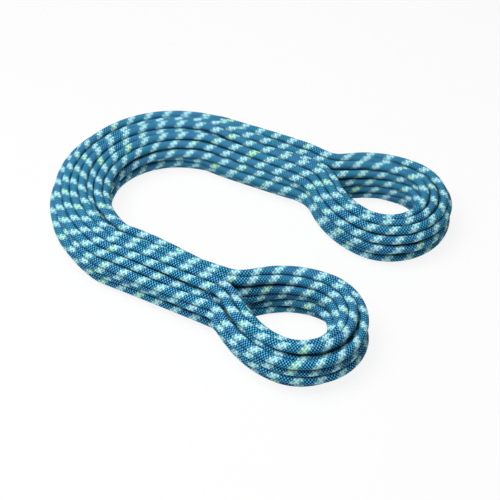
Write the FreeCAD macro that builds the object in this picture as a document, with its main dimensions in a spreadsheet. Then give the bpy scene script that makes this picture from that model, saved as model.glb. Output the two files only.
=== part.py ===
import FreeCAD, Part
import math
import os

# Dynamic climbing rope of kernmantle construction, put away as a hank. Each turn is a long narrow loop
# that goes round both ends. The hank lies on its side, bent into a U that opens to +X, and each arm of
# the U ends in an open eye. One rope makes the whole hank: a woven sheath, drawn here as a six-sided
# cord, over a core of twisted strands, with a fused tip and a shrunk film sleeve at both ends.
#
# The turns are stacked in upright layers that stand side by side, each one turn lower than the layer
# inside it. The rope climbs the innermost layer, steps over to the next, goes down it, and so on, so
# both its ends lie on the floor. All the turns of a layer move up or down by one place together, each
# layer in a stretch of its own, and the outer layers move first, so every turn finds its place empty.

Vector = FreeCAD.Vector
doc = FreeCAD.newDocument("climbing_rope")

# Driving dimensions, in millimetres, degrees and counts
DIMENSIONS = (
    # The rope
    ("rope_diameter", 9.5),
    ("sheath_wall", 1.2),
    ("core_clearance", 0.1),
    ("turn_gap", 0.6),
    ("floor_cut_share", 0.1),
    # The plan of the hank
    ("bend_radius", 109.0),
    ("far_arm_length", 101.0),
    ("near_arm_length", 109.0),
    ("far_eye_lean", 5.0),
    ("lean_radius", 150.0),
    ("eye_flare", 40.0),
    ("throat_radius", 64.0),
    ("eye_side_radius", 91.0),
    ("eye_side_turn", 38.0),
    # Turns stacked in the innermost layer
    ("inner_layer_turns", 6),
    # Corners of the faceted cord along each curve
    ("bend_corners", 7),
    ("side_corners", 2),
    ("tip_corners", 5),
    # The finished ends
    ("sleeve_length", 30.0),
    ("sleeve_wall", 0.4),
    ("sleeve_clearance", 0.1),
    ("tip_length", 3.0),
    ("tip_chamfer", 0.8),
    ("outer_end_length", 48.0),
)

sheet = doc.addObject("Spreadsheet::Sheet", "dimensions")
for row, (alias, value) in enumerate(DIMENSIONS, start=1):
    sheet.set("A%d" % row, alias)
    sheet.set("B%d" % row, str(value))
    sheet.setAlias("B%d" % row, alias)
doc.recompute()


def size(alias):
    """The number that the sheet holds under an alias."""
    return float(sheet.get(alias))


def count(alias):
    """A whole number that the sheet holds under an alias."""
    return int(round(size(alias)))


LAYERS = 4
ROPE_SIDES = 6
BORE_SIDES = 4

rope_radius = size("rope_diameter") / 2
flat_depth = rope_radius * math.cos(math.pi / ROPE_SIDES)
bore_radius = rope_radius - size("sheath_wall")
core_radius = bore_radius - size("core_clearance") / math.cos(math.pi / BORE_SIDES)
pitch = size("rope_diameter") + size("turn_gap")

# The lowest turns lie with their axis at this height, so that the floor cuts them flat
lowest_axis = rope_radius - size("rope_diameter") * size("floor_cut_share")
# The ends are raised until their sleeves lie on the floor
end_axis = flat_depth + size("sleeve_clearance") + size("sleeve_wall")

# An eye opens out of its arm through a throat, widens along two gentle sides and closes round a tip.
# The tip's radius follows from the rest, so that both halves of the eye meet on the arm's own line.
flare = math.radians(size("eye_flare"))
lean_in = math.radians(size("eye_side_turn")) - flare
throat_rise = size("throat_radius") * (1 - math.cos(flare))
side_rise = size("eye_side_radius") * (math.cos(lean_in) - math.cos(flare))
tip_radius = (throat_rise + side_rise) / math.cos(lean_in)
tip_turn = 180 + 2 * size("eye_flare") - 2 * size("eye_side_turn")


class Stretch:
    """A straight run, or an arc with a few corners, of the seam that the turns lie about."""

    def __init__(self, name, length=0.0, turn=0.0, radius=0.0, corners=0):
        self.name = name
        self.length = length
        self.turn = math.radians(turn)
        self.radius = radius
        self.corners = corners


class Station:
    """A place on the seam: a point and the outward direction to the turns there.

    At a corner the direction bisects the corner, and is longer than 1 so that every turn keeps its
    distance from its neighbours on the straight facets on both sides.
    """

    def __init__(self, name, number, point, heading, turn=0.0):
        bisector = heading + turn / 2
        self.name = name
        self.number = number
        self.point = point
        self.outward = Vector(math.sin(bisector), -math.cos(bisector), 0) / math.cos(turn / 2)

    def place(self, layer, level, axis=lowest_axis):
        """The axis point of the turn in a layer and on a level, both counted from 1."""
        offset = (layer - 0.5) * pitch
        return self.point + self.outward * offset + Vector(0, 0, axis + (level - 1) * pitch)


def arc(name, turn, radius, corners):
    """A stretch of the seam that turns, to the left where turn is above zero."""
    return Stretch(name, turn=turn, radius=radius, corners=corners)


def eye(name):
    """The stretches of one eye, from its throat round the tip and back."""
    throat = (-size("eye_flare"), size("throat_radius"), 1)
    side = (size("eye_side_turn"), size("eye_side_radius"), count("side_corners"))
    return [
        arc(name + " throat out", *throat),
        arc(name + " side out", *side),
        arc(name + " tip", tip_turn, tip_radius, count("tip_corners")),
        arc(name + " side back", *side),
        arc(name + " throat back", *throat),
    ]


def seam_stretches():
    """The whole seam: out round the far eye, back, and round the U to the near eye and back again."""
    lean = size("far_eye_lean")
    bend_radius = size("bend_radius")
    corners = count("bend_corners")
    return (
        [arc("far lean out", -lean, size("lean_radius"), 1)]
        + eye("far eye")
        + [arc("far lean back", lean, size("lean_radius"), 1)]
        + [Stretch("far arm outside", size("far_arm_length"))]
        + [arc("bend outside", 180, bend_radius, corners)]
        + [Stretch("near arm outside", size("near_arm_length"))]
        + eye("near eye")
        + [Stretch("near arm inside", size("near_arm_length"))]
        + [arc("bend inside", -180, bend_radius, corners)]
        + [Stretch("far arm inside", size("far_arm_length"))]
    )


def seam_stations():
    """Every station of the seam in the order in which the rope passes it."""
    stations = []
    point = Vector(size("far_arm_length"), size("bend_radius"), 0)
    heading = 0.0
    for stretch in seam_stretches():
        forward = Vector(math.cos(heading), math.sin(heading), 0)
        if not stretch.corners:
            stations.append(Station(stretch.name, 0, point, heading))
            point = point + forward * stretch.length
            stations.append(Station(stretch.name, 1, point, heading))
            continue
        step = stretch.turn / stretch.corners
        reach = stretch.radius * math.tan(abs(step) / 2)
        for number in range(stretch.corners):
            point = point + forward * reach
            stations.append(Station(stretch.name, number, point, heading, step))
            heading += step
            forward = Vector(math.cos(heading), math.sin(heading), 0)
            point = point + forward * reach
    return stations


# Where each layer moves up or down by one place, and where a turn steps over to the next layer
LAYER_MOVES = {4: "far arm outside", 3: "near arm outside", 2: "near arm inside", 1: "far arm inside"}
STEP_OVERS = {3: "bend outside", 2: "near eye tip", 1: "bend inside"}
# A turn rolls over the shoulder of the one below it along three sides of a ring about it
SHOULDER = math.tan(math.pi / 8)


def turns_in(layer):
    """How many turns a layer holds: one fewer for each layer outward."""
    return max(1, count("inner_layer_turns") - (layer - 1))


def cells():
    """The place of every turn as (layer, level), in winding order: up one layer and down the next."""
    order = []
    for layer in range(1, LAYERS + 1):
        levels = range(1, turns_in(layer) + 1)
        order += [(layer, level) for level in (levels if layer % 2 else reversed(levels))]
    return order


def step_over(layer, level, next_level):
    """The three places of a turn on its way to the next layer."""
    if next_level < level:
        return [(layer + SHOULDER, level), (layer + 1, level - 1 + SHOULDER), (layer + 1, next_level)]
    return [(layer + share / 3, level) for share in (1, 2, 3)]


def turn_points(stations, here, there):
    """The corner points of one turn that starts in the cell here and ends in the cell there."""
    layer, level = here
    same_layer = there[0] == layer
    move = LAYER_MOVES[layer] if same_layer else STEP_OVERS[layer]
    path = [] if same_layer else step_over(layer, level, there[1])
    corners = sum(1 for station in stations if station.name == move)
    first = (corners - len(path)) // 2
    place = here
    points = []
    for station in stations:
        is_run = station.name in LAYER_MOVES.values()
        if station.name == move:
            if same_layer:
                place = there if station.number else here
            elif first < station.number <= first + len(path):
                place = path[station.number - first - 1]
            points.append(station.place(*place))
        elif not is_run:
            points.append(station.place(*place))
    return points


def rope_route():
    """The corner points of the rope's whole axis, from its inner end to its outer end."""
    stations = seam_stations()
    order = cells()
    by_name = {(station.name, station.number): station for station in stations}
    start = by_name["far eye side out", 0]
    entry = by_name["far eye side out", 1]
    # The inner end lies in the far eye, beside the innermost layer
    points = [start.place(0, 1, end_axis), entry.place(0, 1, end_axis)]
    begin = stations.index(entry) + 1
    for number, (here, there) in enumerate(zip(order, order[1:])):
        points += turn_points(stations, here, there)[begin:] if number == 0 else turn_points(stations, here, there)
    # The outer end goes round the far eye once more and lies behind the far arm
    outside = LAYERS + 1
    lean_back = by_name["far lean back", 0]
    for station in stations[:stations.index(lean_back) - 1]:
        points.append(station.place(*order[-1]))
    points.append(by_name["far eye throat back", 0].place(outside, 1, end_axis))
    points.append(lean_back.place(outside, 1, end_axis))
    arm = by_name["far arm outside", 0]
    along = (by_name["far arm outside", 1].point - arm.point).normalize()
    points.append(arm.place(outside, 1, end_axis) + along * size("outer_end_length"))
    return points


def directions(points):
    """The direction of each facet of a route."""
    return [(end - start).normalize() for start, end in zip(points, points[1:])]


def mitred_rings(points, radius, sides, turned):
    """Corner rings of a cord of a regular section, cut on the bisecting plane at each corner of its route."""
    ways = directions(points)
    across = ways[0].cross(Vector(0, 0, 1)).normalize()
    upright = across.cross(ways[0])
    angles = [2 * math.pi * (side + turned) / sides for side in range(sides)]
    ring = [points[0] + (across * math.cos(a) + upright * math.sin(a)) * radius for a in angles]
    rings = [ring]
    for number, point in enumerate(points[1:], start=1):
        way = ways[number - 1]
        onward = ways[number] if number < len(ways) else way
        normal = way + onward
        ring = [corner + way * ((point - corner).dot(normal) / way.dot(normal)) for corner in ring]
        rings.append(ring)
    return rings


def polygon_face(corners):
    """A flat face with the given corners."""
    return Part.Face(Part.makePolygon(corners + corners[:1]))


def wall_faces(rings):
    """The flat faces along a cord, between each ring of corners and the next."""
    faces = []
    for near, far in zip(rings, rings[1:]):
        sides = len(near)
        for side in range(sides):
            after = (side + 1) % sides
            faces.append(polygon_face([near[side], near[after], far[after], far[side]]))
    return faces


def closed_solid(faces):
    """One solid from the flat faces that close it."""
    shell = Part.makeShell(faces)
    shell.sewShape()
    solid = Part.makeSolid(shell)
    return solid if solid.Volume > 0 else solid.reversed()


def plain_cord(points, radius, sides, turned):
    """A solid cord along a route."""
    rings = mitred_rings(points, radius, sides, turned)
    return closed_solid(wall_faces(rings) + [polygon_face(rings[0]), polygon_face(rings[-1])])


def hollow_cord(points, radius, sides, bore, bore_sides):
    """A cord with a bore along its whole route."""
    outer = mitred_rings(points, radius, sides, 0)
    inner = mitred_rings(points, bore, bore_sides, 0.5)
    ends = [polygon_face(outer[end]).cut(polygon_face(inner[end])).Faces[0] for end in (0, -1)]
    return closed_solid(wall_faces(outer) + wall_faces(inner) + ends)


def least_gap(points, spacing, apart):
    """The least clear distance between facets that lie apart along a route, measured on points."""
    facets = list(zip(points, points[1:]))
    reached = [0.0]
    for start, end in facets:
        reached.append(reached[-1] + (end - start).Length)
    cell = 2 * pitch
    samples = []
    near = {}
    for number, (start, end) in enumerate(facets):
        steps = max(1, math.ceil((end - start).Length / spacing))
        for step in range(steps + 1):
            point = start + (end - start) * (step / steps)
            key = (int(point.x // cell), int(point.y // cell), int(point.z // cell))
            samples.append((number, point, key))
            near.setdefault(key, set()).add(number)
    around = [(x, y, z) for x in (-1, 0, 1) for y in (-1, 0, 1) for z in (-1, 0, 1)]
    least = math.inf
    for number, point, key in samples:
        for other in set().union(*(near.get(tuple(map(sum, zip(key, step))), ()) for step in around)):
            between = reached[max(number, other)] - reached[min(number, other) + 1]
            if between > apart:
                least = min(least, point.distanceToLineSegment(*facets[other]).Length)
    return least - size("rope_diameter")


def tightest_radius(points):
    """The least radius of an arc that would round a corner of a route."""
    ways = directions(points)
    lengths = [(end - start).Length for start, end in zip(points, points[1:])]
    least = math.inf
    for number in range(len(ways) - 1):
        turn = ways[number].getAngle(ways[number + 1])
        if turn > 1e-6:
            shorter = min(lengths[number], lengths[number + 1])
            least = min(least, shorter / 2 / math.tan(turn / 2))
    return least


def add_shape(label, shape):
    """A document object that holds a finished shape."""
    feature = doc.addObject("Part::Feature", label)
    feature.Label = label
    feature.Shape = shape
    return feature


def end_placement(point, way, across):
    """A placement whose Z axis runs from a rope end into the rope, with X towards a corner of its section."""
    rotation = FreeCAD.Rotation(across, way.cross(across), way, "ZXY")
    return FreeCAD.Placement(point, rotation)


def add_prism(label, circumradius, height):
    """A six-sided prism whose sizes follow the sheet."""
    prism = doc.addObject("Part::Prism", label)
    prism.Polygon = ROPE_SIDES
    prism.setExpression("Circumradius", circumradius)
    prism.setExpression("Height", height)
    return prism


def add_tip(label, placement):
    """The fused tip of a rope end: a disc of melted yarn, chamfered round its free face."""
    disc = add_prism(label + "_disc", "dimensions.rope_diameter / 2", "dimensions.tip_length")
    doc.recompute()
    rim = [number for number, edge in enumerate(disc.Shape.Edges, start=1) if edge.BoundBox.ZMax < 1e-6]
    tip = doc.addObject("Part::Chamfer", label)
    tip.Label = label
    tip.Base = disc
    tip.Edges = [(number, size("tip_chamfer"), size("tip_chamfer")) for number in rim]
    tip.Placement = placement
    return tip


def add_sleeve(label, placement):
    """The shrunk film sleeve round a rope end, from the tip's chamfer along the sheath."""
    inside = "dimensions.rope_diameter / 2 + dimensions.sleeve_clearance / cos(30 deg)"
    film = add_prism(label + "_film", inside + " + dimensions.sleeve_wall / cos(30 deg)", "dimensions.sleeve_length")
    room = add_prism(label + "_room", inside, "dimensions.sleeve_length")
    sleeve = doc.addObject("Part::Cut", label)
    sleeve.Label = label
    sleeve.Base = film
    sleeve.Tool = room
    shift = Vector(0, 0, size("tip_chamfer"))
    sleeve.Placement = FreeCAD.Placement(placement.multVec(shift), placement.Rotation)
    return sleeve


route = rope_route()
ways = directions(route)
rope_start = route[0]
rope_finish = route[-1]
cord_route = list(route)
cord_route[0] = rope_start + ways[0] * size("tip_length")
cord_route[-1] = rope_finish - ways[-1] * size("tip_length")

core_solid = plain_cord(cord_route, core_radius, BORE_SIDES, 0.5)
whole_sheath = hollow_cord(cord_route, rope_radius, ROPE_SIDES, bore_radius, BORE_SIDES)
box = whole_sheath.BoundBox
margin = size("rope_diameter")
corner = Vector(box.XMin - margin, box.YMin - margin, -margin)
floor = Part.makeBox(box.XLength + 2 * margin, box.YLength + 2 * margin, margin, corner)

sheath = add_shape("sheath", whole_sheath.cut(floor).Solids[0])
core = add_shape("core", core_solid)

outline = mitred_rings(cord_route, rope_radius, ROPE_SIDES, 0)
inner_across = (outline[0][0] - cord_route[0]).normalize()
outer_across = (outline[-1][0] - cord_route[-1]).normalize()
inner_end = end_placement(rope_start, ways[0], inner_across)
outer_end = end_placement(rope_finish, -ways[-1], outer_across)
end_pieces = [
    add_tip("inner_end_tip", inner_end),
    add_sleeve("inner_end_sleeve", inner_end),
    add_tip("outer_end_tip", outer_end),
    add_sleeve("outer_end_sleeve", outer_end),
]
doc.recompute()

# The model's origin lies on the floor under the middle of the hank
pieces = [sheath, core] + end_pieces
bounds = FreeCAD.BoundBox()
for piece in pieces:
    bounds.add(piece.Shape.BoundBox)
middle = Vector(bounds.Center.x, bounds.Center.y, 0)
for piece in pieces:
    piece.Placement = FreeCAD.Placement(piece.Placement.Base - middle, piece.Placement.Rotation)
doc.recompute()

# Each piece must be sound before it is written
for item in doc.Objects:
    if {"Invalid", "Error"} & set(item.State):
        raise RuntimeError("%s did not compute: %s" % (item.Label, item.State))
for piece in pieces:
    if piece.Shape.isNull() or not piece.Shape.isValid() or len(piece.Shape.Solids) != 1:
        raise RuntimeError("%s is not one sound solid" % piece.Label)

length = sum((end - start).Length for start, end in zip(cord_route, cord_route[1:]))
cord_section = ROPE_SIDES / 2 * math.sin(2 * math.pi / ROPE_SIDES) * rope_radius ** 2
core_section = BORE_SIDES / 2 * math.sin(2 * math.pi / BORE_SIDES) * core_radius ** 2
bore_section = BORE_SIDES / 2 * math.sin(2 * math.pi / BORE_SIDES) * bore_radius ** 2
gap = least_gap(route, size("rope_diameter") / 2, 3 * size("rope_diameter"))
print("middle of the hank at %.2f, %.2f mm from the middle of the bend" % (middle.x, middle.y))
print("rope length %.0f mm, %d cells, %d corners" % (length, len(cells()), len(route)))
print("least gap of the rope to itself %.2f mm" % gap)
print("tightest radius %.1f mm, eye tip radius %.1f mm" % (tightest_radius(route), tip_radius))
print("sheath volume / section x length %.4f" % (whole_sheath.Volume / ((cord_section - bore_section) * length)))
print("core volume / section x length %.4f" % (core_solid.Volume / (core_section * length)))

os.makedirs("parts", exist_ok=True)
for piece in pieces:
    piece.Shape.exportStep("parts/%s.step" % piece.Label)
    bounds = piece.Shape.BoundBox
    print(piece.Label, "%.1f x %.1f x %.1f mm" % (bounds.XLength, bounds.YLength, bounds.ZLength))
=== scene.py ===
"""Visual model of a dynamic climbing rope, put away as a hank that lies bent into a U.

The rope is one cord. Its axis is a NURBS spline whose control points are worked out turn by turn, then
pressed together until the turns nestle. The braided sheath, the twisted core and the two finished ends
all follow that one spline.
"""
import logging
import math
from dataclasses import dataclass, field
from enum import Enum

import bmesh
import bpy
import numpy as np
from bpy.types import Material, Mesh, Node, NodeSocket, NodeTree, Object
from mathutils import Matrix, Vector


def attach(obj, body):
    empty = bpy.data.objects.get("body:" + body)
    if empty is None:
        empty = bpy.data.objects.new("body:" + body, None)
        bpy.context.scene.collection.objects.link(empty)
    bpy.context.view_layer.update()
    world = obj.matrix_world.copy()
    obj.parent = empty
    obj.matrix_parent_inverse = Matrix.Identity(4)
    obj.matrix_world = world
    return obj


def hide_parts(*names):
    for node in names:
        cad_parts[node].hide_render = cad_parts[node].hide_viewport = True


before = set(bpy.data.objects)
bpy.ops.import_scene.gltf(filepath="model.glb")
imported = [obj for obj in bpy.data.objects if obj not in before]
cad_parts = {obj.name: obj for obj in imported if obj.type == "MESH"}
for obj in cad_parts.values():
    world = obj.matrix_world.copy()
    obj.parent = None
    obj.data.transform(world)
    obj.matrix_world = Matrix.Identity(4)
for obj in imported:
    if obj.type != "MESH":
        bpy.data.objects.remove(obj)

logging.basicConfig(level=logging.INFO, format="%(message)s")
LOG = logging.getLogger("climbing_rope")
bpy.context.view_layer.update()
PICTURE = 500
MICROMETRE = 1e-6
UP = np.array([0.0, 0.0, 1.0])
Array = np.ndarray
Colour = tuple[float, float, float, float]
Spans = tuple[tuple[float, float], ...]


class Slot(Enum):
    """The record's material slots."""

    BRAID = "sheath_braid"
    CORE = "core_strands"
    FUSED = "fused_tip"
    FILM = "end_film"


@dataclass(frozen=True)
class RopeSizes:
    """Sizes of the rope itself, in metres."""

    diameter: float = 0.0095
    sheath_wall: float = 0.0012
    core_clearance: float = 0.0001
    pitch: float = 0.0101
    end_axis: float = 0.00526
    tip_length: float = 0.003
    tip_rim: float = 0.0009
    sleeve_start: float = 0.0008
    sleeve_length: float = 0.030
    sleeve_wall: float = 0.0004
    sleeve_clearance: float = 0.0001

    @property
    def radius(self) -> float:
        """Half the rope's diameter."""
        return self.diameter / 2


@dataclass(frozen=True)
class Stretch:
    """A straight run, or an arc with a few corners, of the seam that the turns lie about."""

    name: str
    corners: int
    length: float = 0.0
    turn: float = 0.0
    radius: float = 0.0


@dataclass
class Stations:
    """Places along the seam: plan points, outward directions to the turns there, and stretch names."""

    points: Array
    outward: Array
    names: Array

    def on(self, name: str) -> Array:
        """Indices of the stations of one stretch."""
        return np.flatnonzero(self.names == name)

    def in_eye(self) -> Array:
        """Which stations lie in one of the two eyes."""
        return np.char.find(self.names, "eye") >= 0


@dataclass(frozen=True)
class HankPlan:
    """The seam of the hank in plan, in metres and degrees: a U with an eye at the end of each arm."""

    bend_radius: float = 0.109
    far_arm: float = 0.101
    near_arm: float = 0.109
    far_lean: float = 5.0
    lean_radius: float = 0.150
    eye_flare: float = 40.0
    throat_radius: float = 0.064
    side_radius: float = 0.091
    side_turn: float = 38.0
    arm_corners: int = 4
    bend_corners: int = 7
    side_corners: int = 2
    tip_corners: int = 5
    middle: tuple[float, float] = (0.06931, -0.00444)

    def eye(self, name: str) -> list[Stretch]:
        """The stretches of one eye, from its throat round the tip and back.

        The tip's radius is (throat rise + side rise) / cos(lean), so that both halves of the eye meet on
        the arm's own line.

        Args:
            name: The eye's name, which starts the name of each stretch.

        Returns:
            The five stretches in the order in which the rope passes them.
        """
        flare = math.radians(self.eye_flare)
        lean = math.radians(self.side_turn) - flare
        throat_rise = self.throat_radius * (1 - math.cos(flare))
        side_rise = self.side_radius * (math.cos(lean) - math.cos(flare))
        tip_radius = (throat_rise + side_rise) / math.cos(lean)
        tip_turn = 180 + 2 * self.eye_flare - 2 * self.side_turn
        return [
            Stretch(name + " throat out", 1, turn=-self.eye_flare, radius=self.throat_radius),
            Stretch(name + " side out", self.side_corners, turn=self.side_turn, radius=self.side_radius),
            Stretch(name + " tip", self.tip_corners, turn=tip_turn, radius=tip_radius),
            Stretch(name + " side back", self.side_corners, turn=self.side_turn, radius=self.side_radius),
            Stretch(name + " throat back", 1, turn=-self.eye_flare, radius=self.throat_radius),
        ]

    def stretches(self) -> list[Stretch]:
        """The whole seam: round the far eye, along the U to the near eye, and back again."""
        arm, bend = self.arm_corners, self.bend_corners
        return [
            Stretch("far lean out", 1, turn=-self.far_lean, radius=self.lean_radius),
            *self.eye("far eye"),
            Stretch("far lean back", 1, turn=self.far_lean, radius=self.lean_radius),
            Stretch("far arm outside", arm, length=self.far_arm),
            Stretch("bend outside", bend, turn=180.0, radius=self.bend_radius),
            Stretch("near arm outside", arm, length=self.near_arm),
            *self.eye("near eye"),
            Stretch("near arm inside", arm, length=self.near_arm),
            Stretch("bend inside", bend, turn=-180.0, radius=self.bend_radius),
            Stretch("far arm inside", arm, length=self.far_arm),
        ]

    def stations(self) -> Stations:
        """Every station of the seam in the order in which the rope passes it.

        A heading is the running sum of the turns, and a point is the running sum of the steps along the
        headings. At a corner the outward direction bisects the corner and is 1 / cos(turn / 2) long, so
        that each turn keeps its distance from its neighbours on both sides of the corner.

        Returns:
            The stations, with points in the row frame.
        """
        before, after, turns, names = [], [], [], []
        for stretch in self.stretches():
            count = stretch.corners
            step = math.radians(stretch.turn) / count
            if stretch.length:
                half = stretch.length / (count - 1) / 2
                before += [0.0] + [half] * (count - 1)
                after += [half] * (count - 1) + [0.0]
            else:
                reach = stretch.radius * math.tan(abs(step) / 2)
                before += [reach] * count
                after += [reach] * count
            turns += [step] * count
            names += [stretch.name] * count
        turn = np.array(turns)
        leaving = np.cumsum(turn)
        arriving = leaving - turn
        steps = np.array(before)[:, None] * np.stack([np.cos(arriving), np.sin(arriving)], axis=1)
        onward = np.array(after)[:, None] * np.stack([np.cos(leaving), np.sin(leaving)], axis=1)
        steps[1:] += onward[:-1]
        start = np.array([self.far_arm, self.bend_radius]) - np.array(self.middle)
        bisector = arriving + turn / 2
        outward = np.stack([np.sin(bisector), -np.cos(bisector)], axis=1) / np.cos(turn / 2)[:, None]
        return Stations(start + np.cumsum(steps, axis=0), outward, np.array(names))


@dataclass
class Course:
    """The rope's control points in the bundle's own measures, one entry for each control point.

    base and outward are three-dimensional, span holds the bundle's middle, half width and half height
    there, out is the distance from the seam, high the height over the floor, and held marks points that
    nothing may move.
    """

    base: Array
    outward: Array
    span: Array
    out: Array
    high: Array
    held: Array

    def points(self, out: Array, high: Array) -> Array:
        """Control points: base + outward * out + up * high."""
        return self.base + self.outward * out[:, None] + UP * high[:, None]


@dataclass(frozen=True)
class Bundle:
    """The bundle of turns, measured to the rope's axis.

    The spans give, at each station of a stretch, how far the bundle's middle lies outside the seam and its
    half width, in millimetres, set after the photograph. The other lengths are in metres:
    lowest and highest limit the half height, and laid_middle is how far from the seam the turns of an eye
    lie on average as they are laid. The section is a superellipse with one power above its middle and
    another below, section_factor is its area over the product of its half axes, and fullness is the room
    that the turns take over that of the closest packing.
    """

    diameter: float = 0.0095
    far_arm: Spans = ((1.0, 27.0), (1.0, 27.0), (-0.7, 27.0), (-6.0, 30.0))
    bend: Spans = (
        (-1.0, 32.6), (11.6, 34.0), (12.6, 31.0), (6.0, 31.0), (-4.4, 32.0), (-3.4, 31.0), (-0.6, 27.6),
    )
    near_arm: Spans = ((-0.2, 25.2), (1.0, 23.2), (3.4, 21.8), (12.0, 20.6))
    lean: Spans = ((0.0, 24.0),)
    far_throat_out: Spans = ((6.4, 19.0),)
    far_side_out: Spans = ((12.6, 10.0), (17.2, 11.0))
    far_tip: Spans = ((16.2, 13.2), (13.6, 15.2), (10.0, 16.4), (12.0, 15.0), (19.8, 13.6))
    far_side_back: Spans = ((13.4, 12.8), (13.4, 12.8))
    far_throat_back: Spans = ((7.0, 19.5),)
    near_throat_out: Spans = ((14.0, 12.5),)
    near_side_out: Spans = ((8.6, 9.6), (14.8, 12.0))
    near_tip: Spans = ((22.2, 14.0), (18.6, 17.2), (12.0, 17.2), (3.8, 15.2), (15.2, 13.0))
    near_side_back: Spans = ((20.0, 9.8), (19.4, 9.8))
    near_throat_back: Spans = ((7.4, 19.6),)
    lowest: float = 0.0224
    highest: float = 0.0244
    laid_middle: float = 0.0155
    section_factor: float = 3.48
    fullness: float = 1.06
    power_above: float = 2.3
    power_below: float = 2.8

    def spans(self, seam: Stations, turns: int) -> Array:
        """The bundle's middle, half width and half height at every station of the seam.

        The arms and the bend are passed twice, first outside and then inside, where the same bundle lies
        the other way round: the order turns round, and so does the sign of the middle. Each span is
        evened with its two neighbours by the weights 1, 4 and 1. The turns fill the bundle's section, so
        its half height follows from its half width and from how many turns pass there.

        Args:
            seam: The seam's stations.
            turns: How many turns the hank has.

        Returns:
            Three columns, in metres: the middle, the half width and the half height.
        """
        eyes = {
            f"{eye} eye {part.replace('_', ' ')}": getattr(self, f"{eye}_{part}")
            for eye in ("far", "near")
            for part in ("throat_out", "side_out", "tip", "side_back", "throat_back")
        }
        twice = {"far arm": self.far_arm, "bend": self.bend, "near arm": self.near_arm}
        outside = {f"{name} outside": run for name, run in twice.items()}
        inside = {
            f"{name} inside": [(-middle, half) for middle, half in run[::-1]] for name, run in twice.items()
        }
        leans = {"far lean out": self.lean, "far lean back": self.lean}
        spans = np.zeros((len(seam.names), 2))
        for name, values in {**eyes, **outside, **inside, **leans}.items():
            spans[seam.on(name)] = np.array(values) / 1000
        spans = (np.roll(spans, 1, axis=0) + 4 * spans + np.roll(spans, -1, axis=0)) / 6
        passes = np.where(seam.in_eye(), turns, 2 * turns)
        area = self.fullness * passes * math.sqrt(3) / 2 * self.diameter ** 2
        half_height = area / (self.section_factor * (spans[:, 1] + self.diameter / 2)) - self.diameter / 2
        return np.column_stack([spans, np.clip(half_height, self.lowest, self.highest)])

    def excess(self, off_out: Array, off_high: Array, half_width: Array, half_height: Array) -> Array:
        """The share of its way to the bundle's middle by which each point sticks out of the section.

        With the level (|out| / half width)^p + (|high| / half height)^p, it is 1 - level^(-1 / p), and 0
        inside the section.

        Args:
            off_out: Distance of each point from the bundle's middle, outwards.
            off_high: The same, upwards.
            half_width: Half width of the bundle at each point.
            half_height: Half height of the bundle at each point.

        Returns:
            One share for each point.
        """
        power = np.where(off_high > 0, self.power_above, self.power_below)
        level = (np.abs(off_out) / half_width) ** power
        level += (np.abs(off_high) / half_height) ** power
        return np.clip(1 - level ** (-1 / power), 0, None)


def smooth_step(share: Array) -> Array:
    """The smooth step 3 s^2 - 2 s^3."""
    return share * share * (3 - 2 * share)


def near_pairs(places: Array, reach: float, apart: int, block: int = 1000) -> tuple[Array, Array]:
    """Pairs of places that are closer than reach, but at least apart places away along the rope.

    Args:
        places: Places on the rope's axis, in order.
        reach: The distance below which two places make a pair.
        apart: The least number of places from one to the other along the rope.
        block: How many places are compared with all others at a time.

    Returns:
        The first and the second index of each pair.
    """
    flat = (places - places.mean(axis=0)).astype(np.float32)
    square = (flat ** 2).sum(axis=1)
    found = []
    for start in range(0, len(flat) - apart, block):
        rows = flat[start:start + block]
        onward = flat[start + apart:]
        gap = square[start:start + block, None] + square[None, start + apart:] - 2 * rows @ onward.T
        one, other = np.nonzero(gap < reach * reach)
        keep = other - one >= 0
        found.append(np.stack([one[keep] + start, other[keep] + start + apart]))
    both = np.concatenate(found, axis=1)
    return both[0], both[1]


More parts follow.
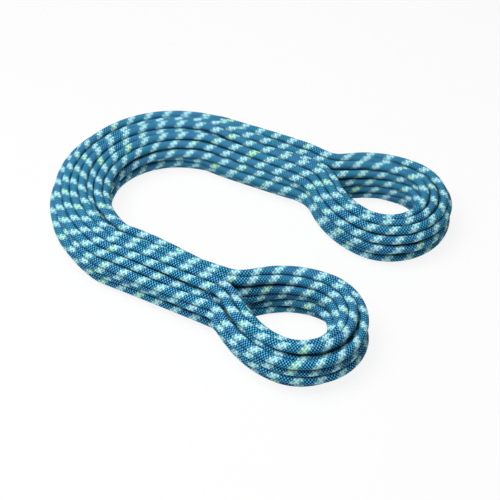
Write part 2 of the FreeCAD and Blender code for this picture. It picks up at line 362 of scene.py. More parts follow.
@dataclass
class HankWinding:
    """Lays the rope's control points turn by turn, and presses the turns together until they nestle.

    A column of turns is column_share of a diameter wide. wander is the size of the drift and
    wave_lengths its shortest and longest wave, in metres. draw and even hold two factors each, for most
    rounds of pressing and for the last ones, in which the turns settle.
    """

    rope: RopeSizes = field(default_factory=RopeSizes)
    plan: HankPlan = field(default_factory=HankPlan)
    bundle: Bundle = field(default_factory=Bundle)
    layers: int = 4
    inner_turns: int = 6
    column_share: float = 0.885
    sinking_points: int = 8
    sunk_rise: float = 0.001
    inner_end_share: float = 0.7
    outer_end_run: float = 0.048
    outer_end_step: float = 0.034
    seed: int = 7
    waves: int = 14
    wave_lengths: tuple[float, float] = (0.35, 1.6)
    wander: float = 0.0035
    samples: int = 5
    rounds: int = 260
    settle_rounds: int = 60
    search_every: int = 25
    search_reach: float = 1.55
    push: float = 0.9
    pull: float = 0.02
    sink: float = 0.00004
    draw: tuple[float, float] = (0.15, 0.05)
    even: tuple[float, float] = (0.09, 0.045)

    def cells(self) -> Array:
        """The place of every turn as (layer, level), in winding order: up one layer, down the next."""
        order: list[tuple[int, int]] = []
        for layer in range(1, self.layers + 1):
            levels = range(1, self.inner_turns - layer + 2)
            order += [(layer, level) for level in (levels if layer % 2 else reversed(levels))]
        return np.array(order, dtype=float)

    def place(self, cells: Array) -> tuple[Array, Array]:
        """Distance from the seam and height of a cell.

        Each column of turns stands a nestled pitch outside the one before it, and half a pitch higher.

        Args:
            cells: Layer and level in the last axis, both counted from 1.

        Returns:
            The distances and the heights.
        """
        layer, level = cells[..., 0], cells[..., 1]
        out = self.rope.diameter * (0.5 + self.column_share * (layer - 1))
        high = self.rope.diameter * (0.5 + (level - 1) + 0.5 * (layer - 1))
        return out, high

    def course(self) -> Course:
        """The whole rope before it is pressed together, from its inner end to its outer end.

        A turn starts in its own cell and moves to the next one along one stretch of the seam, by a
        smooth step. All turns of a layer use the same stretch, each layer another one, and a layer's last
        turn steps over to the next layer on a stretch of its own.

        Returns:
            The course of the rope's control points.
        """
        moves = {4: "far arm outside", 3: "near arm outside", 2: "near arm inside", 1: "far arm inside"}
        steps = {3: "bend outside", 2: "near eye tip", 1: "bend inside"}
        seam = self.plan.stations()
        size = len(seam.names)
        here = self.cells()
        there = np.concatenate([here[1:], here[-1:]])
        share = np.zeros((len(here), size))
        for turn in range(len(here)):
            layer = int(here[turn, 0])
            stretch = moves[layer] if here[turn, 0] == there[turn, 0] else steps[layer]
            on = seam.on(stretch)
            share[turn] = np.clip((np.arange(size) - on[0]) / (on[-1] - on[0]), 0, 1)
        share = smooth_step(share)[..., None]
        out, high = self.place(here[:, None, :] + (there - here)[:, None, :] * share)
        out, high = out.ravel(), high.ravel()
        first = seam.on("far eye tip")[0]
        last = (len(here) - 1) * size + seam.on("far eye throat back")[0]
        body = slice(first, last)
        station = np.tile(np.arange(size), len(here))[body]
        # The last turn sinks to the floor, where its end lies
        begin = last - 1 - self.sinking_points
        sinking = np.clip((np.arange(len(out)) - begin) / self.sinking_points, 0, 1)
        high = high + (self.rope.end_axis + self.sunk_rise - high) * smooth_step(sinking)
        inner = self.inner_end(seam)
        outer = self.outer_end(seam)
        ends = (len(inner), len(outer))
        flat = np.concatenate([inner[:, :2], seam.points[station], outer[:, :2]])
        spans = self.bundle.spans(seam, len(here))[station]
        # The turns start about the bundle's middle, not about the seam's own line
        laid = np.where(seam.in_eye(), self.bundle.laid_middle, 0.0)[station]
        return Course(
            base=np.pad(flat, ((0, 0), (0, 1))),
            outward=np.pad(seam.outward[station], (ends, (0, 1))),
            span=np.pad(spans, (ends, (0, 0)), constant_values=1.0),
            out=np.pad(out[body] + spans[:, 0] - laid, ends),
            high=np.concatenate([inner[:, 2], high[body], outer[:, 2]]),
            held=np.repeat([True, False, True], [ends[0], len(station), ends[1]]),
        )

    def inner_end(self, seam: Stations) -> Array:
        """Points of the inner end, which lies on the floor in the far eye, beside the innermost layer."""
        side = seam.on("far eye side out")
        flat = seam.points[side] - seam.outward[side] * self.rope.pitch / 2
        near = flat[0] + (flat[1] - flat[0]) * self.inner_end_share
        return np.column_stack([[flat[0], near, flat[1]], [self.rope.end_axis] * 3])

    def outer_end(self, seam: Stations) -> Array:
        """Points of the outer end, which lies on the floor behind the far arm."""
        beside = (self.layers + 0.5) * self.rope.pitch
        corners = np.array([seam.on("far eye throat back")[0], seam.on("far lean back")[0]])
        flat = seam.points[corners] + seam.outward[corners] * beside
        arm = seam.on("far arm outside")
        along = seam.points[arm[-1]] - seam.points[arm[0]]
        along = along / np.linalg.norm(along)
        end = seam.points[arm[0]] + seam.outward[arm[0]] * beside + along * self.outer_end_run
        near = end - along * self.outer_end_step
        return np.column_stack([[flat[0], flat[1], near, end], [self.rope.end_axis] * 4])

    def drift(self, course: Course) -> Array:
        """Slow wandering of the rope in its bundle: a sum of sine waves along its length.

        Args:
            course: The rope before it is pressed together.

        Returns:
            Two columns, the drift in distance from the seam and in height.
        """
        rng = np.random.default_rng(self.seed)
        flat = course.points(course.out, course.high)
        reached = np.concatenate([[0], np.cumsum(np.linalg.norm(np.diff(flat, axis=0), axis=1))])
        lengths = rng.uniform(*self.wave_lengths, self.waves)
        phases = rng.uniform(0, 2 * math.pi, (self.waves, 2))
        waves = np.sin(2 * math.pi * reached[:, None, None] / lengths[None, :, None] + phases[None])
        return self.wander * waves.sum(axis=1) / math.sqrt(self.waves / 2)

    def weights(self, count: int) -> tuple[Array, Array]:
        """Weights of the spline's control points at evenly spread places on it.

        On each span the weights are (1 - t)^2 / 2, 1/2 + t - t^2 and t^2 / 2.

        Args:
            count: How many control points the spline has.

        Returns:
            The first control point of each place, and its three weights.
        """
        t = (np.arange(self.samples) + 0.5) / self.samples
        three = np.stack([(1 - t) ** 2 / 2, 0.5 + t - t * t, t * t / 2], axis=1)
        return np.repeat(np.arange(count - 2), self.samples), np.tile(three, (count - 2, 1))

    @staticmethod
    def gather(first: Array, weights: Array, values: Array, count: int) -> Array:
        """The sum of the places' values at each control point, by the spline's weights."""
        total = np.zeros(count)
        for corner in range(3):
            total += np.bincount(first + corner, weights=weights[:, corner] * values, minlength=count)
        return total

    def push_apart(self, places: Array, one: Array, other: Array) -> Array:
        """Moves that take overlapping turns apart.

        Two places push each other square to the rope's mean direction there, by half of what they lack
        to a diameter. A pair counts fully when it lies square across, and fades out along the rope.

        Args:
            places: Places on the rope's axis.
            one: First index of each pair.
            other: Second index of each pair.

        Returns:
            One move for each place.
        """
        way = np.gradient(places, axis=0)
        step = np.linalg.norm(way, axis=1)
        way = way / step[:, None]
        gap = places[one] - places[other]
        hand = np.sign((way[one] * way[other]).sum(axis=1))
        mean = way[one] + hand[:, None] * way[other]
        mean = mean / np.linalg.norm(mean, axis=1)[:, None]
        along = (gap * mean).sum(axis=1)
        across = gap - along[:, None] * mean
        never_zero = 1e-9
        distance = np.linalg.norm(across, axis=1) + never_zero
        weight = np.clip(1 - np.abs(along) / ((step[one] + step[other]) / 2), 0, 1)
        lack = np.clip(self.rope.diameter - distance, 0, None)
        push = across * (lack * weight / 2 / distance)[:, None]
        moves = np.zeros_like(places)
        for axis in range(3):
            moves[:, axis] += np.bincount(one, weights=push[:, axis], minlength=len(places))
            moves[:, axis] -= np.bincount(other, weights=push[:, axis], minlength=len(places))
        return moves

    @staticmethod
    def unevenness(values: Array) -> Array:
        """The fourth difference of values along the rope, which is 0 where they bend evenly."""
        result = np.zeros(len(values))
        result[2:-2] = values[:-4] - 4 * values[1:-3] + 6 * values[2:-2] - 4 * values[3:-1] + values[4:]
        return result

    def press(self) -> Array:
        """Presses the turns together and returns the spline's control points.

        Each round pushes overlapping turns apart, draws turns that stick out of the bundle's section back
        in, keeps them over the floor and evens out their bends. The pull towards their first places fades
        out, and the last rounds only push apart, draw in and even out.

        Returns:
            The control points in the row frame, in metres.
        """
        course = self.course()
        count = len(course.out)
        drift = self.drift(course)
        free = ~course.held
        goal_out = course.out + np.where(free, drift[:, 0], 0)
        goal_high = course.high + np.where(free, drift[:, 1], 0)
        scale = np.where(free, (course.outward ** 2).sum(axis=1), 1.0)
        middle, half_width, half_height = course.span.T
        first, weights = self.weights(count)
        spread = self.gather(first, weights, np.ones(len(first)), count)
        reach = self.search_reach * self.rope.diameter
        out, high = goal_out.copy(), goal_high.copy()
        for number in range(self.rounds):
            points = course.points(out, high)
            places = sum(weights[:, k:k + 1] * points[first + k] for k in range(3))
            if number % self.search_every == 0:
                one, other = near_pairs(places, reach, 2 * self.samples + 2)
            moves = self.push_apart(places, one, other)
            shift = np.column_stack([self.gather(first, weights, move, count) for move in moves.T])
            points = points + self.push * shift / spread[:, None]
            from_base = points - course.base
            new_out = (from_base * course.outward).sum(axis=1) / scale
            new_high = from_base[:, 2]
            settling = number >= self.rounds - self.settle_rounds
            left = 1 - number / self.rounds
            if not settling:
                new_out += self.pull * left * (goal_out - new_out)
                new_high += self.pull * left * (goal_high - new_high) - self.sink
            off_out = new_out - middle
            off_high = new_high - half_height - self.rope.radius
            back = self.draw[settling] * self.bundle.excess(off_out, off_high, half_width, half_height)
            new_out -= back * off_out
            new_high -= back * off_high
            for values in (new_out, new_high):
                values -= self.even[settling] * self.unevenness(values)
            new_high = np.maximum(new_high, self.rope.radius)
            out = np.where(free, new_out, out)
            high = np.where(free, new_high, high)
        return course.points(out, high)


@dataclass
class RopeLine:
    """The rope's axis as one NURBS spline, and the points that Blender reads from it."""

    control: Array
    resolution: int = 6

    def spline(self) -> Object:
        """A curve object with the control points in one open spline of order 3."""
        curve = bpy.data.curves.new("rope_axis", "CURVE")
        curve.dimensions = "3D"
        curve.resolution_u = self.resolution
        spline = curve.splines.new("NURBS")
        spline.points.add(len(self.control) - 1)
        spline.points.foreach_set("co", np.column_stack([self.control, np.ones(len(self.control))]).ravel())
        spline.order_u = 3
        spline.use_endpoint_u = True
        item = bpy.data.objects.new("rope_axis", curve)
        bpy.context.collection.objects.link(item)
        return item

    def read(self) -> Array:
        """The points of the spline, as Blender makes them for a curve with no bevel."""
        item = self.spline()
        bpy.context.view_layer.update()
        mesh = bpy.data.meshes.new_from_object(item)
        points = np.empty(len(mesh.vertices) * 3)
        mesh.vertices.foreach_get("co", points)
        curve = item.data
        bpy.data.objects.remove(item)
        bpy.data.curves.remove(curve)
        bpy.data.meshes.remove(mesh)
        points = points.reshape(-1, 3)
        apart = np.linalg.norm(np.diff(points, axis=0), axis=1) > MICROMETRE
        return points[np.concatenate([[True], apart])]


@dataclass
class Path:
    """A run of points with its directions, its frames and its reached length at each point."""

    points: Array

    def __post_init__(self) -> None:
        """Works out directions, side and upright vectors, and the reached length."""
        steps = np.linalg.norm(np.diff(self.points, axis=0), axis=1)
        self.reached = np.concatenate([[0.0], np.cumsum(steps)])
        way = np.gradient(self.points, axis=0)
        self.way = way / np.linalg.norm(way, axis=1)[:, None]
        side = np.cross(self.way, UP)
        self.side = side / np.linalg.norm(side, axis=1)[:, None]
        self.upright = np.cross(self.side, self.way)

    @property
    def length(self) -> float:
        """The whole length."""
        return float(self.reached[-1])

    def at(self, places: Array) -> "Path":
        """The path read at other reached lengths, by straight lines between its points."""
        return Path(np.column_stack([np.interp(places, self.reached, self.points[:, k]) for k in range(3)]))


def angles(around: int) -> Array:
    """Evenly spread angles, once round."""
    return 2 * math.pi * np.arange(around) / around


def wall_faces(rings: int, around: int) -> list[list[int]]:
    """The quads between rings of vertices: (k, a), (k, a + 1), (k + 1, a + 1) and (k + 1, a)."""
    ring = np.arange(rings - 1)[:, None] * around
    here = ring + np.arange(around)[None]
    after = ring + (np.arange(around)[None] + 1) % around
    return np.stack([here, after, after + around, here + around], axis=-1).reshape(-1, 4).tolist()


def new_piece(name: str, vertices: Array, faces: list[list[int]]) -> Object:
    """A new smooth object at the origin."""
    mesh = bpy.data.meshes.new(name)
    mesh.from_pydata(vertices.tolist(), [], faces)
    mesh.polygons.foreach_set("use_smooth", np.ones(len(faces), bool))
    mesh.update()
    item = bpy.data.objects.new(name, mesh)
    bpy.context.collection.objects.link(item)
    return item


def tube(name: str, path: Path, radius: float | Array, around: int, texture: Array) -> Object:
    """A tube with closed ends: point(s, a) = path(s) + radius(s, a) * (side * cos a + upright * sin a).

    Its UV map has the share of the way round in U and a length along the rope, in metres, in V.

    Args:
        name: The piece's name.
        path: The line that the tube follows.
        radius: One radius, or one for each ring and side.
        around: How many sides the tube has.
        texture: The length that V holds at each ring.

    Returns:
        The new object, at the origin.
    """
    rings = len(path.points)
    angle = angles(around)[None, :, None]
    offset = path.side[:, None] * np.cos(angle) + path.upright[:, None] * np.sin(angle)
    reach = np.broadcast_to(radius, (rings, around))[..., None]
    vertices = (path.points[:, None] + offset * reach).reshape(-1, 3)
    caps = [list(range(around - 1, -1, -1)), list(range((rings - 1) * around, rings * around))]
    share = np.arange(around + 1) / around
    u = np.stack([share[:-1], share[1:], share[1:], share[:-1]], axis=-1)[None]
    v = np.stack([texture[:-1], texture[:-1], texture[1:], texture[1:]], axis=-1)[:, None]
    wall_uv = np.stack(np.broadcast_arrays(u, v), axis=-1).reshape(-1, 2)
    cap_uv = np.column_stack([np.tile(share[:-1], 2), np.repeat([texture[0], texture[-1]], around)])
    item = new_piece(name, vertices, wall_faces(rings, around) + caps)
    layer = item.data.uv_layers.new(name="along_rope")
    layer.data.foreach_set("uv", np.concatenate([wall_uv, cap_uv]).ravel())
    return item


def lathe(name: str, start: Array, way: Array, profile: Array, around: int = 32) -> Object:
    """A turned piece: point(k, a) = start + way * height(k) + across(a) * radius(k), closed in itself.

    Args:
        name: The piece's name.
        start: Origin of the axis.
        way: Direction of the axis.
        profile: Closed profile as rows of (height, radius); a radius of zero closes it on the axis.
        around: How many sides the piece has.

    Returns:
        The new object, at the origin.
    """
    way = way / np.linalg.norm(way)
    side = np.cross(way, UP)
    side = side / np.linalg.norm(side)
    upright = np.cross(side, way)
    angle = angles(around)[:, None]
    across = side * np.cos(angle) + upright * np.sin(angle)
    vertices = start + way * profile[:, :1, None] + across * profile[:, 1:, None]
    item = new_piece(name, vertices.reshape(-1, 3), wall_faces(len(profile), around))
    merge_doubles(item.data)
    return item


def merge_doubles(mesh: Mesh) -> None:
    """Merges vertices closer than a micrometre, drops flat faces and turns the faces outwards."""
    work = bmesh.new()
    work.from_mesh(mesh)
    bmesh.ops.remove_doubles(work, verts=work.verts, dist=MICROMETRE)
    bmesh.ops.dissolve_degenerate(work, edges=work.edges, dist=MICROMETRE / 10)
    bmesh.ops.recalc_face_normals(work, faces=work.faces)
    work.to_mesh(mesh)
    work.free()
    mesh.update()


class NodeSheet:
    """Short calls for adding nodes to a node tree."""

    def __init__(self, tree: NodeTree) -> None:
        """Keeps the tree and clears it."""
        self.tree = tree
        tree.nodes.clear()

    @classmethod
    def of_group(cls, name: str, inputs: dict[str, str], outputs: tuple[str, ...]) -> "NodeSheet":
        """The sheet of a new node group.

        Args:
            name: The group's name.
            inputs: The kind of each input, Float or Vector, by its name.
            outputs: The names of the outputs, all of them values.

        Returns:
            The sheet, whose tree is the group.
        """
        tree = bpy.data.node_groups.new(name, "ShaderNodeTree")
        for socket, kind in inputs.items():
            tree.interface.new_socket(socket, in_out="INPUT", socket_type="NodeSocket" + kind)
        for socket in outputs:
            tree.interface.new_socket(socket, in_out="OUTPUT", socket_type="NodeSocketFloat")
        return cls(tree)

    def add(self, kind: str, **settings: object) -> Node:
        """A new node with some of its settings."""
        node = self.tree.nodes.new(kind)
        for key, value in settings.items():
            setattr(node, key, value)
        return node

    def link(self, value: object, socket: NodeSocket) -> None:
        """Links a socket, or sets a constant."""
        if isinstance(value, NodeSocket):
            self.tree.links.new(value, socket)
        else:
            socket.default_value = value

    def fill(self, node: Node, values: dict[str, object]) -> Node:
        """The node, with some of its inputs linked or set by their names."""
        for name, value in values.items():
            self.link(value, node.inputs[name])
        return node

    def math(self, operation: str, *values: object) -> NodeSocket:
        """The output of a Math node."""
        node = self.add("ShaderNodeMath", operation=operation)
        for value, socket in zip(values, node.inputs):
            self.link(value, socket)
        return node.outputs[0]

    def mix(self, factor: object, one: object, other: object) -> NodeSocket:
        """The output of a colour Mix node."""
        node = self.add("ShaderNodeMix", data_type="RGBA")
        self.link(factor, node.inputs["Factor"])
        self.link(one, node.inputs[6])
        self.link(other, node.inputs[7])
        return node.outputs[2]

    def noise(self, vector: object, scale: object, detail: object = 2.0) -> NodeSocket:
        """The factor of a Noise Texture."""
        values = {"Vector": vector, "Scale": scale, "Detail": detail}
        return self.fill(self.add("ShaderNodeTexNoise"), values).outputs[0]

    def smooth(self, value: object, low: float, high: float) -> NodeSocket:
        """A smooth step of a value from low to high."""
        node = self.add("ShaderNodeMapRange", interpolation_type="SMOOTHSTEP")
        return self.fill(node, {"Value": value, "From Min": low, "From Max": high}).outputs[0]

    def bump(self, height: object, strength: float, depth: float) -> NodeSocket:
        """The normal of a Bump node, with its depth in metres."""
        values = {"Height": height, "Strength": strength, "Distance": depth}
        return self.fill(self.add("ShaderNodeBump"), values).outputs[0]

    def grain(self, group: NodeTree, scale: float, detail: float) -> Node:
        """The grain group's node, on Object coordinates."""
        place = self.add("ShaderNodeTexCoord").outputs["Object"]
        node = self.add("ShaderNodeGroup", node_tree=group)
        return self.fill(node, {"Place": place, "Scale": scale, "Detail": detail})

    def show(self, surface: Node, kind: str = "Material") -> None:
        """Links a surface to the output of a material, or of the world."""
        self.link(surface.outputs[0], self.add("ShaderNodeOutput" + kind).inputs["Surface"])


def new_material(name: str) -> tuple[Material, NodeSheet]:
    """A new material and the sheet of its node tree, which is empty."""
    material = bpy.data.materials.new(name)
    material.use_nodes = True
    return material, NodeSheet(material.node_tree)


def grain_group() -> NodeTree:
    """The node group of the fine grain and the worn patches that every finish has.

    Grain is a noise. Patch is a noise six times as coarse, by a smooth step from 0.35 to 0.7.

    Returns:
        The group, with inputs Place, Scale and Detail, and outputs Grain and Patch.
    """
    inputs = {"Place": "Vector", "Scale": "Float", "Detail": "Float"}
    sheet = NodeSheet.of_group("worn_grain", inputs, ("Grain", "Patch"))
    source = sheet.add("NodeGroupInput").outputs
    grain = sheet.noise(source["Place"], source["Scale"], source["Detail"])
    coarse = sheet.noise(source["Place"], sheet.math("DIVIDE", source["Scale"], 6.0))
    sheet.fill(sheet.add("NodeGroupOutput"), {"Grain": grain, "Patch": sheet.smooth(coarse, 0.35, 0.7)})
    return sheet.tree


def srgb(red: float, green: float, blue: float) -> Colour:
    """A linear colour from display values of 0 to 255."""
    channels = [value / 255 for value in (red, green, blue)]
    linear = [c / 12.92 if c <= 0.04045 else ((c + 0.055) / 1.055) ** 2.4 for c in channels]
    return (*linear, 1.0)


@dataclass(frozen=True)
class BraidFinish:
    """The sheath's braid: carriers in two families that cross, with a band of light yarns in one.

    The steps are the low and the high end of a smooth step. tint_scale and mint_scale belong to noises
    along the rope. The shares say how strongly a tint or a shade shows. lay and bump_depth are in metres.
    """

    carriers: int = 7
    lay: float = 0.0228
    light_carriers: int = 3
    dipped_share: float = 0.3
    blue: Colour = srgb(82, 192, 238)
    violet: Colour = srgb(104, 174, 246)
    teal: Colour = srgb(62, 206, 220)
    # Colour of the painted shade on the sides of the stitches, and of the darker grain
    deep: Colour = srgb(0, 42, 78)
    # Colour of the painted shade in the creases between the turns
    crease: Colour = srgb(0, 20, 44)
    pale_cyan: Colour = srgb(190, 246, 255)
    pale_mint: Colour = srgb(196, 255, 218)
    tint_scale: float = 9.0
    tint_step: tuple[float, float] = (0.40, 0.60)
    mint_scale: float = 31.0
    mint_step: tuple[float, float] = (0.54, 0.62)
    crown_step: tuple[float, float] = (0.52, 0.90)
    light_crown_share: float = 0.75
    grain_scale: float = 900.0
    grain_detail: float = 3.0
    grain_shade_share: float = 0.15
    grain_height: float = 0.25
    painted_crease_shade_share: float = 0.68
    bump_strength: float = 0.6
    bump_depth: float = 0.00035
    roughness: float = 0.86
    crown_polish: float = 0.18
    specular: float = 0.12

    def group(self) -> NodeTree:
        """The node group of a helical braid.

        With a the share of the way round, s the length along, n the carriers in a family and L the lay,
        p = n (s / L - a) counts the left-hand carriers and q = n (s / L + a) the right-hand ones. The
        left-hand carrier lies on top where floor(p) + floor(q) is even. The height of a stitch is
        sqrt(sin(pi p) sin(pi q)), on the parts of p and q after the point. Whole numbers are compared
        with a value half way between two of them.

        Returns:
            The group, with inputs Around, Along, Carriers, Lay and Light, and outputs Left on top,
            Light yarn, Stitch and Right number.
        """
        inputs = {name: "Float" for name in ("Around", "Along", "Carriers", "Lay", "Light")}
        outputs = ("Left on top", "Light yarn", "Stitch", "Right number")
        sheet = NodeSheet.of_group("helical_braid", inputs, outputs)
        source = sheet.add("NodeGroupInput").outputs
        along = sheet.math("DIVIDE", source["Along"], source["Lay"])
        numbers, waves = {}, {}
        for family, sign in (("left", "SUBTRACT"), ("right", "ADD")):
            count = sheet.math("MULTIPLY", sheet.math(sign, along, source["Around"]), source["Carriers"])
            numbers[family] = sheet.math("FLOOR", count)
            part = sheet.math("SUBTRACT", count, numbers[family])
            waves[family] = sheet.math("SINE", sheet.math("MULTIPLY", part, math.pi))
        odd = sheet.math("FLOORED_MODULO", sheet.math("ADD", numbers["left"], numbers["right"]), 2.0)
        on_top = sheet.math("LESS_THAN", odd, 0.5)
        stitch = sheet.math("POWER", sheet.math("MULTIPLY", waves["left"], waves["right"]), 0.5)
        place = sheet.math("FLOORED_MODULO", numbers["left"], source["Carriers"])
        light = sheet.math("LESS_THAN", place, source["Light"])
        # The light yarns are the thickest: only the first and the last of their band dip under
        after_first = sheet.math("GREATER_THAN", place, 0.5)
        before_last = sheet.math("LESS_THAN", place, sheet.math("SUBTRACT", source["Light"], 1.5))
        inner = sheet.math("MULTIPLY", after_first, before_last)
        dip = sheet.math("MULTIPLY", sheet.math("MAXIMUM", inner, self.dipped_share), light)
        sheet.fill(sheet.add("NodeGroupOutput"), {
            "Left on top": sheet.math("MAXIMUM", on_top, dip),
            "Light yarn": light,
            "Stitch": stitch,
            "Right number": sheet.math("FLOORED_MODULO", numbers["right"], source["Carriers"]),
        })
        return sheet.tree

    def material(self, grain_tree: NodeTree) -> Material:
        """The braid's material.

        Args:
            grain_tree: The node group of the grain.

        Returns:
            The material.
        """
        material, sheet = new_material("sheath_braid")
        uv = sheet.add("ShaderNodeUVMap", uv_map="along_rope").outputs["UV"]
        around, along = sheet.fill(sheet.add("ShaderNodeSeparateXYZ"), {"Vector": uv}).outputs[:2]
        braid = sheet.fill(sheet.add("ShaderNodeGroup", node_tree=self.group()), {
            "Around": around,
            "Along": along,
            "Carriers": self.carriers,
            "Lay": self.lay,
            "Light": self.light_carriers,
        }).outputs
        on_top, is_light, stitch = braid["Left on top"], braid["Light yarn"], braid["Stitch"]
        grain = sheet.grain(grain_tree, self.grain_scale, self.grain_detail).outputs["Grain"]
        # Long stretches of the rope lean towards violet, and of its light yarns towards mint
        line = sheet.fill(sheet.add("ShaderNodeCombineXYZ"), {"X": along}).outputs[0]
        tint = sheet.smooth(sheet.noise(line, self.tint_scale), *self.tint_step)
        mint = sheet.smooth(sheet.noise(line, self.mint_scale), *self.mint_step)
        left_colour = sheet.mix(tint, self.blue, self.violet)
        left_colour = sheet.mix(is_light, left_colour, sheet.mix(mint, self.pale_cyan, self.pale_mint))
        even = sheet.math("LESS_THAN", sheet.math("FLOORED_MODULO", braid["Right number"], 2.0), 0.5)
        right_colour = sheet.mix(even, self.teal, self.blue)
        colour = sheet.mix(on_top, right_colour, left_colour)
        # Painted shade: the sides of a stitch are darker than its crown, which shows least on the light yarns
        low = sheet.math("SUBTRACT", 1.0, sheet.smooth(stitch, *self.crown_step))
        bright = sheet.math("MULTIPLY", sheet.math("MULTIPLY", on_top, is_light), self.light_crown_share)
        low = sheet.math("MULTIPLY", low, sheet.math("SUBTRACT", 1.0, bright))
        colour = sheet.mix(low, colour, self.deep)
        colour = sheet.mix(sheet.math("MULTIPLY", grain, self.grain_shade_share), colour, self.deep)
        # Painted shade: the yarns are darkened in the creases between the turns, where shade falls
        crease = sheet.add("ShaderNodeAttribute", attribute_name="crease").outputs["Fac"]
        colour = sheet.mix(sheet.math("MULTIPLY", crease, self.painted_crease_shade_share), colour, self.crease)
        height = sheet.math("ADD", stitch, sheet.math("MULTIPLY", grain, self.grain_height))
        # The crown of a stitch is rubbed smoother than its sides
        rough = sheet.math("SUBTRACT", self.roughness, sheet.math("MULTIPLY", stitch, self.crown_polish))
        sheet.show(sheet.fill(sheet.add("ShaderNodeBsdfPrincipled"), {
            "Base Color": colour,
            "Roughness": rough,
            "Normal": sheet.bump(height, self.bump_strength, self.bump_depth),
            "Specular IOR Level": self.specular,
        }))
        return material


@dataclass(frozen=True)
class PlainFinish:
    """A finish of one colour with grain: fused yarn, film or core yarn."""

    name: str
    colour: Colour
    worn: Colour
    roughness: float
    grain_scale: float
    coat: float = 0.0
    grain_detail: float = 4.0
    grain_roughness: float = 0.16
    bump_strength: float = 0.5
    bump_depth: float = 0.0001

    def material(self, grain_tree: NodeTree) -> Material:
        """The finish's material, with a mottled colour, uneven roughness and a fine bump."""
        material, sheet = new_material(self.name)
        worn = sheet.grain(grain_tree, self.grain_scale, self.grain_detail).outputs
        smoothest = self.roughness - self.grain_roughness / 2
        rough = sheet.math("ADD", smoothest, sheet.math("MULTIPLY", worn["Grain"], self.grain_roughness))
        sheet.show(sheet.fill(sheet.add("ShaderNodeBsdfPrincipled"), {
            "Base Color": sheet.mix(worn["Patch"], self.colour, self.worn),
            "Roughness": rough,
            "Normal": sheet.bump(worn["Grain"], self.bump_strength, self.bump_depth),
            "Coat Weight": self.coat,
        }))
        return material


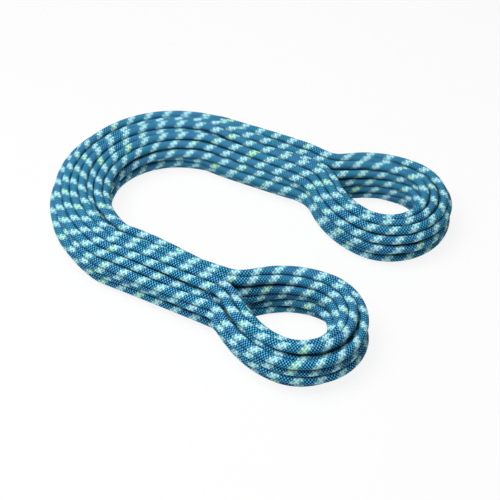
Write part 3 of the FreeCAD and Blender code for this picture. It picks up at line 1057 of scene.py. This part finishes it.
@dataclass
class ClimbingRope:
    """The whole rope: sheath, core and two finished ends.

    crossing is the place in plan where the turns pass the near arm. A neighbour within painted_shade_reach
    diameters paints crease shade on the sheath. core_depth is the height of the core's lobes over its mean
    radius, and core_lay and core_step are in metres.
    """

    sizes: RopeSizes = field(default_factory=RopeSizes)
    winding: HankWinding = field(default_factory=HankWinding)
    braid: BraidFinish = field(default_factory=BraidFinish)
    core_yarn: PlainFinish = PlainFinish("core_yarn", srgb(226, 226, 220), srgb(206, 208, 206), 0.8, 1200.0)
    fused_yarn: PlainFinish = PlainFinish("fused_yarn", srgb(24, 52, 84), srgb(48, 88, 120), 0.42, 500.0)
    film: PlainFinish = PlainFinish("shrunk_film", srgb(30, 30, 33), srgb(46, 46, 50), 0.3, 300.0, 0.4)
    sheath_sides: int = 12
    crossing: tuple[float, float] = (-0.01, -0.06)
    painted_shade_reach: float = 1.3
    painted_shade_apart: int = 12
    painted_shade_start: float = 0.82
    core_sides: int = 8
    core_strands: int = 4
    core_depth: float = 0.07
    core_lay: float = 0.06
    core_step: float = 0.009
    rim_steps: int = 7

    def build(self) -> None:
        """Builds and dresses every piece."""
        control = self.winding.press()
        points = RopeLine(control).read()
        path = Path(points)
        LOG.info("rope axis: %d control points, %.2f m", len(control), path.length)
        # The sheath and the core stop where the fused tips begin
        first, last = self.sizes.tip_length, path.length - self.sizes.tip_length
        inside = (path.reached > first) & (path.reached < last)
        stops = path.at(np.array([first, last])).points
        body = Path(np.concatenate([stops[:1], points[inside], stops[1:]]))
        grain = grain_group()
        sheath = self.sheath(body, self.braid.material(grain))
        core = self.core(body, self.core_yarn.material(grain))
        fused, film = self.fused_yarn.material(grain), self.film.material(grain)
        ends = {
            "inner_end": (points[0], points[1] - points[0]),
            "outer_end": (points[-1], points[-2] - points[-1]),
        }
        tips = [self.tip(name + "_tip", *axis, fused) for name, axis in ends.items()]
        sleeves = [self.sleeve(name + "_sleeve", *axis, film) for name, axis in ends.items()]

    @staticmethod
    def dress(item: Object, material: Material, node: str, slot: Slot) -> Object:
        """Gives a piece its material, hides the model's part that it stands for and hangs it on the root
        body.
        """
        item.data.materials.append(material)
        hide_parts(node)
        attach(item, "root")
        LOG.info("%s: %d faces", item.name, len(item.data.polygons))
        return item

    def turn_texture(self, body: Path) -> Array:
        """The length that the braid is drawn along, in metres.

        It is the rope's own length, changed by less than 1 part in 100 for each turn, so that
        neighbouring turns lie half a lay apart where they cross the near arm.

        Args:
            body: The sheath's path.

        Returns:
            The length at each point of the path.
        """
        x, y = body.points[:, 0], body.points[:, 1]
        cross_x, cross_y = self.crossing
        going_out = (body.way[:, 0] > 0) & (y < cross_y)
        crossing = np.flatnonzero((x[:-1] < cross_x) & (x[1:] >= cross_x) & going_out[:-1])
        marks = body.reached[crossing]
        lay = self.braid.lay
        half = np.arange(len(marks)) / 2
        wanted = lay * (half + np.round(marks / lay - half))
        return body.reached + np.interp(body.reached, marks, wanted - marks)

    def painted_crease_shades(self, body: Path) -> Array:
        """How near each point of the sheath is to a neighbouring turn, from 0 to 1.

        A neighbour in the direction f round the rope paints shade on the point at the angle a by
        (cos(a - f) - start) / (1 - start), and the darkest neighbour counts.

        Args:
            body: The sheath's path.

        Returns:
            One row for each ring, one column for each side.
        """
        one, other = near_pairs(body.points, self.painted_shade_reach * self.sizes.diameter, self.painted_shade_apart)
        here, there = np.concatenate([one, other]), np.concatenate([other, one])
        gap = body.points[there] - body.points[here]
        across, above = (gap * body.side[here]).sum(axis=1), (gap * body.upright[here]).sum(axis=1)
        toward = np.arctan2(above, across)
        facing = np.cos(angles(self.sheath_sides)[None] - toward[:, None])
        depth = np.clip((facing - self.painted_shade_start) / (1 - self.painted_shade_start), 0, 1)
        painted_crease_shades = np.zeros((len(body.points), self.sheath_sides))
        np.maximum.at(painted_crease_shades, here, depth)
        return painted_crease_shades

    def sheath(self, body: Path, material: Material) -> Object:
        """The braided sheath: a round tube along the whole rope."""
        texture = self.turn_texture(body)
        item = tube("braided_sheath", body, self.sizes.radius, self.sheath_sides, texture)
        # Painted shade in the creases between the turns, kept on the mesh for the braid's material
        attribute = item.data.attributes.new("crease", "FLOAT", "POINT")
        attribute.data.foreach_set("value", self.painted_crease_shades(body).ravel())
        return self.dress(item, material, "sheath", Slot.BRAID)

    def core(self, body: Path, material: Material) -> Object:
        """The core of n twisted strands: radius(s, a) = r (1 + depth cos(n a - 2 pi s / lay))."""
        path = body.at(np.linspace(0, body.length, int(body.length / self.core_step)))
        bore = self.sizes.radius - self.sizes.sheath_wall - self.sizes.core_clearance
        twist = 2 * math.pi * path.reached[:, None] / self.core_lay
        lobes = 1 + self.core_depth * np.cos(self.core_strands * angles(self.core_sides)[None] - twist)
        radius = bore / (1 + self.core_depth) * lobes
        item = tube("twisted_core", path, radius, self.core_sides, path.reached)
        return self.dress(item, material, "core", Slot.CORE)

    def tip(self, node: str, start: Array, way: Array, material: Material) -> Object:
        """A fused tip: a melted disc with a rounded rim."""
        radius, height, rim = self.sizes.radius, self.sizes.tip_length, self.sizes.tip_rim
        turn = np.linspace(0, math.pi / 2, self.rim_steps)
        rounded = np.column_stack([rim * (1 - np.sin(turn)), radius - rim + rim * np.cos(turn)])[::-1]
        profile = np.concatenate([[[0.0, 0.0]], rounded, [[height, radius], [height, 0.0]]])
        return self.dress(lathe("fused_" + node, start, way, profile), material, node, Slot.FUSED)

    def sleeve(self, node: str, start: Array, way: Array, material: Material) -> Object:
        """A shrunk film sleeve: a thin wall with bevelled edges round the rope's end."""
        inner = self.sizes.radius + self.sizes.sleeve_clearance
        outer = inner + self.sizes.sleeve_wall
        first = self.sizes.sleeve_start
        last = first + self.sizes.sleeve_length
        lip = self.sizes.sleeve_wall / 3
        profile = np.array([
            [first, inner], [first, outer - lip], [first + lip, outer], [last - lip, outer],
            [last, outer - lip], [last, inner], [first, inner],
        ])
        return self.dress(lathe("film_" + node, start, way, profile), material, node, Slot.FILM)


@dataclass
class Studio:
    """A white floor, soft light from above and the camera of the photograph.

    Angles are in degrees, the lens and the sensor in millimetres, and other sizes in metres. The target
    stands at picture_point, in pixels. floor_white is how far the floor is drawn to pure white.
    """

    azimuth: float = 28.5
    elevation: float = 42.0
    distance: float = 1.46
    lens: float = 95.0
    sensor: float = 36.0
    target: tuple[float, float, float] = (0.00569, 0.00444, 0.025)
    picture_point: tuple[float, float] = (237.7, 222.9)
    floor_reach: float = 6.0
    floor_paper: float = 0.8
    floor_white: float = 0.88
    world_level: float = 0.2
    lamp_size: float = 1.2
    lamp_watts: float = 31.0
    lamp_place: tuple[float, float, float] = (-0.3, -0.5, 1.5)

    def floor(self) -> None:
        """A white floor that the camera sees as nearly pure white, with the object's soft shadow."""
        low, high = -self.floor_reach, self.floor_reach
        mesh = bpy.data.meshes.new("floor")
        mesh.from_pydata([(low, low, 0), (high, low, 0), (high, high, 0), (low, high, 0)], [], [(0, 1, 2, 3)])
        item = bpy.data.objects.new("floor", mesh)
        bpy.context.collection.objects.link(item)
        material, sheet = new_material("white_floor")
        paper = sheet.fill(sheet.add("ShaderNodeBsdfDiffuse"), {"Color": (*[self.floor_paper] * 3, 1.0)})
        white = sheet.fill(sheet.add("ShaderNodeEmission"), {"Strength": 1.0})
        rays = sheet.add("ShaderNodeLightPath").outputs
        seen = sheet.math("MAXIMUM", rays["Is Camera Ray"], rays["Is Glossy Ray"])
        seen = sheet.math("MAXIMUM", seen, rays["Is Transmission Ray"])
        both = sheet.add("ShaderNodeMixShader")
        sheet.link(sheet.math("MULTIPLY", seen, self.floor_white), both.inputs[0])
        sheet.link(paper.outputs[0], both.inputs[1])
        sheet.link(white.outputs[0], both.inputs[2])
        sheet.show(both)
        item.data.materials.append(material)

    def light(self) -> None:
        """An even world and one large soft lamp above and in front of the hank."""
        world = bpy.data.worlds.new("studio")
        bpy.context.scene.world = world
        world.use_nodes = True
        sheet = NodeSheet(world.node_tree)
        even = {"Color": (1.0, 1.0, 1.0, 1.0), "Strength": self.world_level}
        sheet.show(sheet.fill(sheet.add("ShaderNodeBackground"), even), "World")
        lamp = bpy.data.lights.new("softbox", "AREA")
        lamp.shape = "SQUARE"
        lamp.size = self.lamp_size
        lamp.energy = self.lamp_watts
        item = bpy.data.objects.new("softbox", lamp)
        item.location = self.lamp_place
        item.rotation_euler = (-Vector(item.location)).to_track_quat("-Z", "Y").to_euler()
        bpy.context.collection.objects.link(item)

    def camera(self) -> None:
        """The camera: it looks at the target, whose place in the picture sets the shift."""
        azimuth, elevation = math.radians(self.azimuth), math.radians(self.elevation)
        way = Vector((
            -math.sin(azimuth) * math.cos(elevation),
            math.cos(azimuth) * math.cos(elevation),
            -math.sin(elevation),
        ))
        data = bpy.data.cameras.new("camera")
        data.lens = self.lens
        data.sensor_width = self.sensor
        data.shift_x = -(self.picture_point[0] - PICTURE / 2) / PICTURE
        data.shift_y = (self.picture_point[1] - PICTURE / 2) / PICTURE
        item = bpy.data.objects.new("camera", data)
        item.location = Vector(self.target) - way * self.distance
        item.rotation_euler = way.to_track_quat("-Z", "Y").to_euler()
        bpy.context.collection.objects.link(item)
        bpy.context.scene.camera = item

    def build(self) -> None:
        """Builds the floor, the lights and the camera."""
        self.floor()
        self.light()
        self.camera()
        bpy.context.scene.view_settings.view_transform = "Standard"


def main() -> None:
    """Builds the studio and the rope."""
    Studio().build()
    ClimbingRope().build()


if __name__ == "__main__":
    main()
